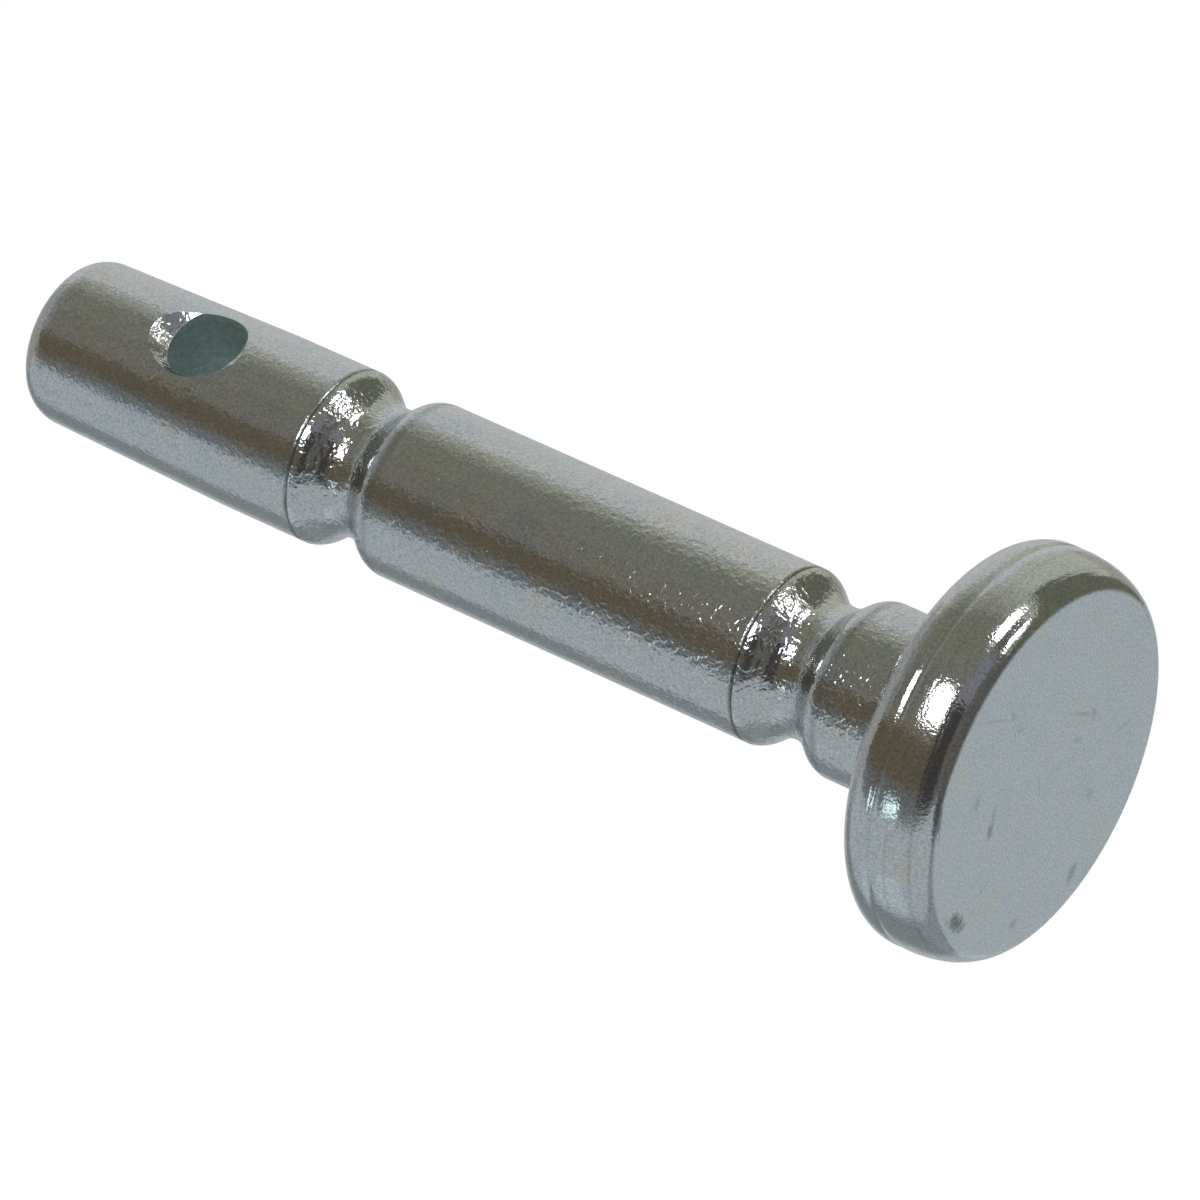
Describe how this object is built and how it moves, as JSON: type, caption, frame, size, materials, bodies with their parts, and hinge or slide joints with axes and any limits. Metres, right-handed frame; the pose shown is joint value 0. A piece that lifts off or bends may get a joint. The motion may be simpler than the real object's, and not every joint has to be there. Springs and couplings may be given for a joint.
{
  "type": "shear pin",
  "caption": "Headed shear pin with a flat round head, rolled shear grooves along the shank and a cross hole near the tip for a cotter.",
  "frame": {"origin": "centre of the head's flat outer face, on the plane that the pin stands on", "axes": "+Z along the pin's axis from the head to the tip, Y along the cross hole"},
  "size_m": [0.0144, 0.0144, 0.0414],
  "materials": {
    "zinc_plated_steel": "bright zinc plate over cold-headed wire, satin on the head's face"
  },
  "bodies": {
    "root": {"shear_pin": "zinc_plated_steel"}
  },
  "joints": []
}
